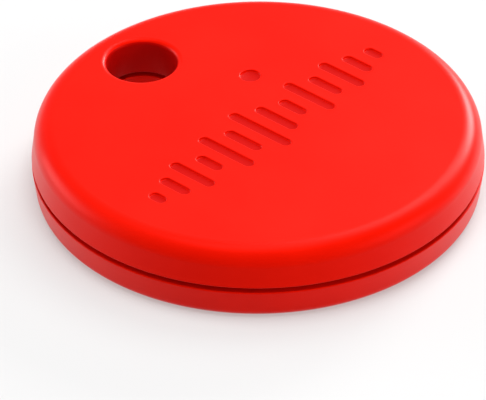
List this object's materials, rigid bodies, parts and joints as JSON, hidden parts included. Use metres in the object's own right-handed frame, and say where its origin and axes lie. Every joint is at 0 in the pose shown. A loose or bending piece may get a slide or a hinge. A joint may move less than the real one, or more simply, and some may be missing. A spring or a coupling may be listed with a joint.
{
  "type": "bluetooth tracker tag",
  "caption": "Round plastic tracker tag with a key-ring hole; the front cover clicks a hidden switch and pulls off to change the coin cell.",
  "frame": {"origin": "centre of the rear face, where the tag lies on a table", "axes": "+Z out of the front face, +Y from the centre towards the key-ring hole, +X to the right when the front face is seen with the hole at the top"},
  "size_m": [0.038, 0.038, 0.0064],
  "materials": {
    "red_plastic": "satin",
    "silicone": "matte",
    "foam": "matte",
    "adhesive": "matte",
    "sounder_brass": "satin",
    "sounder_ceramic": "satin",
    "gold_plate": "polished",
    "cell_steel": "satin",
    "nylon": "matte",
    "lithium": "matte",
    "cathode": "matte",
    "board": "satin",
    "nickel": "satin",
    "black_plastic": "satin",
    "spring_steel": "polished",
    "chip_resin": "matte",
    "antenna_ceramic": "satin",
    "ferrite": "matte",
    "capacitor_ceramic": "satin",
    "resistor_ceramic": "satin"
  },
  "bodies": {
    "base": {"rear_cover": "red_plastic", "piezo_adhesive_ring": "adhesive", "piezo_plate": "sounder_brass", "piezo_ceramic": "sounder_ceramic", "piezo_contact_plate": "gold_plate", "piezo_contact_ceramic": "gold_plate", "circuit_board": "board", "battery_contact_positive_left": "nickel", "battery_contact_positive_right": "nickel", "battery_contact_negative": "nickel", "switch_base": "black_plastic", "switch_dome": "spring_steel", "switch_plate": "spring_steel", "bluetooth_chip": "chip_resin", "piezo_driver_chip": "chip_resin", "crystal_main": "nickel", "crystal_sleep": "nickel", "chip_antenna": "antenna_ceramic", "boost_inductor": "ferrite", "capacitor_1": "capacitor_ceramic", "capacitor_2": "capacitor_ceramic", "capacitor_3": "capacitor_ceramic", "capacitor_4": "capacitor_ceramic", "capacitor_5": "capacitor_ceramic", "capacitor_6": "capacitor_ceramic", "capacitor_7": "capacitor_ceramic", "capacitor_8": "capacitor_ceramic", "resistor_1": "resistor_ceramic", "resistor_2": "resistor_ceramic", "resistor_3": "resistor_ceramic", "resistor_4": "resistor_ceramic"},
    "seal": {"rim_gasket": "silicone"},
    "front": {"front_cover": "red_plastic", "battery_pad": "foam"},
    "cell": {"coin_cell_can": "cell_steel", "coin_cell_seal": "nylon", "coin_cell_cap": "cell_steel", "coin_cell_lithium": "lithium", "coin_cell_cathode": "cathode"},
    "plunger": {"switch_plunger": "black_plastic"}
  },
  "joints": [
    {"name": "cover_lift", "type": "slide", "parent": "base", "child": "seal", "axis": [0, 0, 1], "range_m": [0, 0.02]},
    {"name": "cover_press", "type": "slide", "parent": "seal", "child": "front", "axis": [0, 0, 1], "range_m": [-0.00025, 0], "stiffness_N_per_m": 2000, "springref_m": 0.0003, "deforming": ["rim_gasket"]},
    {"name": "cell_lift", "type": "slide", "parent": "base", "child": "cell", "axis": [0, 0, 1], "range_m": [0, 0.01]},
    {"name": "plunger_press", "type": "slide", "parent": "base", "child": "plunger", "axis": [0, 0, 1], "range_m": [-0.00025, 0]}
  ],
  "couplings": [
    {"joint": "cell_lift", "follows": "cover_lift", "ratio": 0.5},
    {"joint": "plunger_press", "follows": "cover_press", "ratio": 1}
  ]
}
